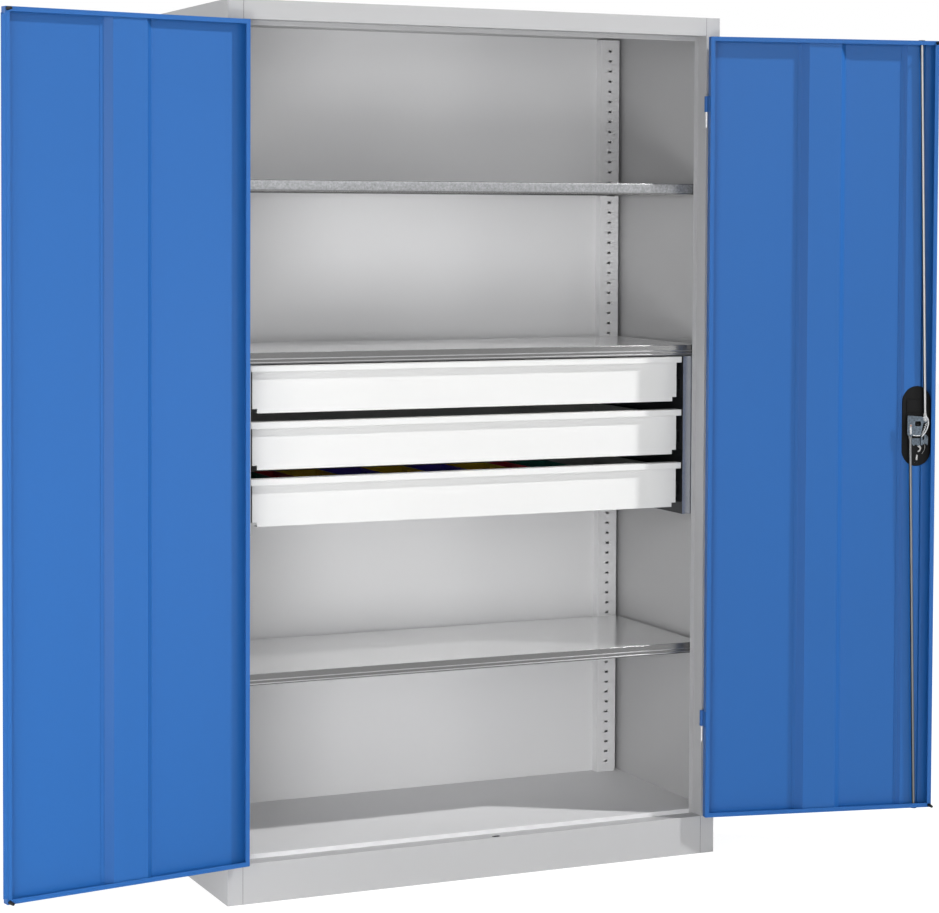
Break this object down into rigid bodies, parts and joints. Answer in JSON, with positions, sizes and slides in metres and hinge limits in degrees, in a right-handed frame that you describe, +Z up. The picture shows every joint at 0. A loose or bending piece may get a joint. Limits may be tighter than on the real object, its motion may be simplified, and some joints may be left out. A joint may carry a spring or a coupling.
{
  "type": "storage cabinet",
  "caption": "Tall steel cupboard with two wing doors, adjustable shelves, a block of drawers and a rod lock, standing with its doors open.",
  "frame": {"origin": "on the floor, at the middle of the plinth's foot flange, 12.5 mm behind the front face and on the cupboard's centre plane", "axes": "+X to the right seen from the front, +Y to the back, +Z up"},
  "size_m": [2.2417, 0.665, 1.95],
  "materials": {
    "grey_paint": "light grey powder coat, fine orange peel",
    "blue_paint": "blue powder coat, satin",
    "white_paint": "white powder coat, satin",
    "zinc_sheet": "hot-dip zinc-coated sheet with fine spangle",
    "bright_steel": "bright zinc-plated steel",
    "zinc_cast": "grey cast zinc",
    "black_plastic": "black moulded plastic, fine texture",
    "black_rubber": "black rubber",
    "green_plastic": "dark green moulded plastic",
    "red_plastic": "red moulded plastic",
    "yellow_plastic": "yellow moulded plastic",
    "blue_plastic": "violet-blue moulded plastic"
  },
  "bodies": {
    "carcass": {"left_side_panel": "grey_paint", "right_side_panel": "grey_paint", "roof_panel": "grey_paint", "plinth_panel": "grey_paint", "floor_panel": "grey_paint", "back_panel": "grey_paint", "upright_rear_left": "grey_paint", "upright_rear_right": "grey_paint", "upright_front_left": "grey_paint", "upright_front_right": "grey_paint", "left_hinge_post_leaves": "grey_paint", "right_hinge_post_leaves": "grey_paint", "shelf_lower": "zinc_sheet", "shelf_middle": "zinc_sheet", "shelf_upper": "zinc_sheet", "drawer_plate_left": "zinc_sheet", "drawer_plate_right": "zinc_sheet", "shelf_clips": "zinc_sheet", "hinge_pins": "bright_steel", "runner_fixed_top": "bright_steel", "runner_fixed_middle": "bright_steel", "runner_fixed_bottom": "bright_steel"},
    "drawer_top": {"drawer_front_top": "white_paint", "drawer_box_top": "white_paint", "runner_inner_top": "bright_steel"},
    "runners_top": {"runner_middle_top": "bright_steel"},
    "drawer_middle": {"drawer_front_middle": "white_paint", "drawer_box_middle": "white_paint", "runner_inner_middle": "bright_steel"},
    "runners_middle": {"runner_middle_middle": "bright_steel"},
    "drawer_bottom": {"drawer_front_bottom": "white_paint", "drawer_box_bottom": "white_paint", "runner_inner_bottom": "bright_steel", "bins_green": "green_plastic", "bins_red": "red_plastic", "bins_yellow": "yellow_plastic", "bins_blue": "blue_plastic"},
    "runners_bottom": {"runner_middle_bottom": "bright_steel"},
    "left_door": {"left_door_skin": "blue_paint", "left_door_stiffener": "blue_paint", "left_door_joint_strip": "blue_paint", "left_hinge_door_leaves": "blue_paint", "left_door_buffers": "black_rubber"},
    "right_door": {"right_door_skin": "blue_paint", "right_door_stiffener": "blue_paint", "lock_channel": "blue_paint", "right_hinge_door_leaves": "blue_paint", "right_door_buffers": "black_rubber", "lock_case": "black_plastic", "lock_cover": "black_plastic", "rod_guides": "black_plastic", "lock_plate": "zinc_cast", "key_cylinder": "zinc_cast", "lock_screws": "bright_steel"},
    "lock_handle": {"lock_handle": "black_plastic", "lock_crank": "zinc_cast"},
    "upper_rod": {"upper_rod": "bright_steel"},
    "lower_rod": {"lower_rod": "bright_steel"},
    "key_barrel": {"key_barrel": "zinc_cast"}
  },
  "joints": [
    {"name": "left_door_swing", "type": "hinge", "parent": "carcass", "child": "left_door", "pos_m": [-0.5635, -0.0185, 0.998], "axis": [0, 0, -1], "range_deg": [-170, 10]},
    {"name": "right_door_swing", "type": "hinge", "parent": "carcass", "child": "right_door", "pos_m": [0.5635, -0.0185, 0.998], "axis": [0, 0, 1], "range_deg": [-168, 12]},
    {"name": "lock_handle_turn", "type": "hinge", "parent": "right_door", "child": "lock_handle", "pos_m": [1.06841, -0.14412, 0.998], "axis": [-0.2079, -0.9781, 0], "range_deg": [0, 48.1]},
    {"name": "upper_rod_lift", "type": "hinge", "parent": "lock_handle", "child": "upper_rod", "pos_m": [1.08662, -0.14799, 1.0147], "axis": [-0.2079, -0.9781, 0], "range_deg": [-49.5, 0.2]},
    {"name": "lower_rod_drop", "type": "hinge", "parent": "lock_handle", "child": "lower_rod", "pos_m": [1.05021, -0.14025, 0.9813], "axis": [-0.2079, -0.9781, 0], "range_deg": [-49.5, 0.2]},
    {"name": "key_turn", "type": "hinge", "parent": "right_door", "child": "key_barrel", "pos_m": [1.06841, -0.14412, 0.92], "axis": [-0.2079, -0.9781, 0], "range_deg": [0, 90]},
    {"name": "drawer_top_slide", "type": "slide", "parent": "carcass", "child": "drawer_top", "axis": [0, -1, 0], "range_m": [0, 0.38]},
    {"name": "runners_top_slide", "type": "slide", "parent": "carcass", "child": "runners_top", "axis": [0, -1, 0], "range_m": [0, 0.19]},
    {"name": "drawer_middle_slide", "type": "slide", "parent": "carcass", "child": "drawer_middle", "axis": [0, -1, 0], "range_m": [0, 0.38]},
    {"name": "runners_middle_slide", "type": "slide", "parent": "carcass", "child": "runners_middle", "axis": [0, -1, 0], "range_m": [0, 0.19]},
    {"name": "drawer_bottom_slide", "type": "slide", "parent": "carcass", "child": "drawer_bottom", "axis": [0, -1, 0], "range_m": [0, 0.38]},
    {"name": "runners_bottom_slide", "type": "slide", "parent": "carcass", "child": "runners_bottom", "axis": [0, -1, 0], "range_m": [0, 0.19]}
  ],
  "couplings": [
    {"joint": "upper_rod_lift", "follows": "lock_handle_turn", "ratio": -1.0249},
    {"joint": "lower_rod_drop", "follows": "lock_handle_turn", "ratio": -1.0249},
    {"joint": "runners_top_slide", "follows": "drawer_top_slide", "ratio": 0.5},
    {"joint": "runners_middle_slide", "follows": "drawer_middle_slide", "ratio": 0.5},
    {"joint": "runners_bottom_slide", "follows": "drawer_bottom_slide", "ratio": 0.5}
  ]
}
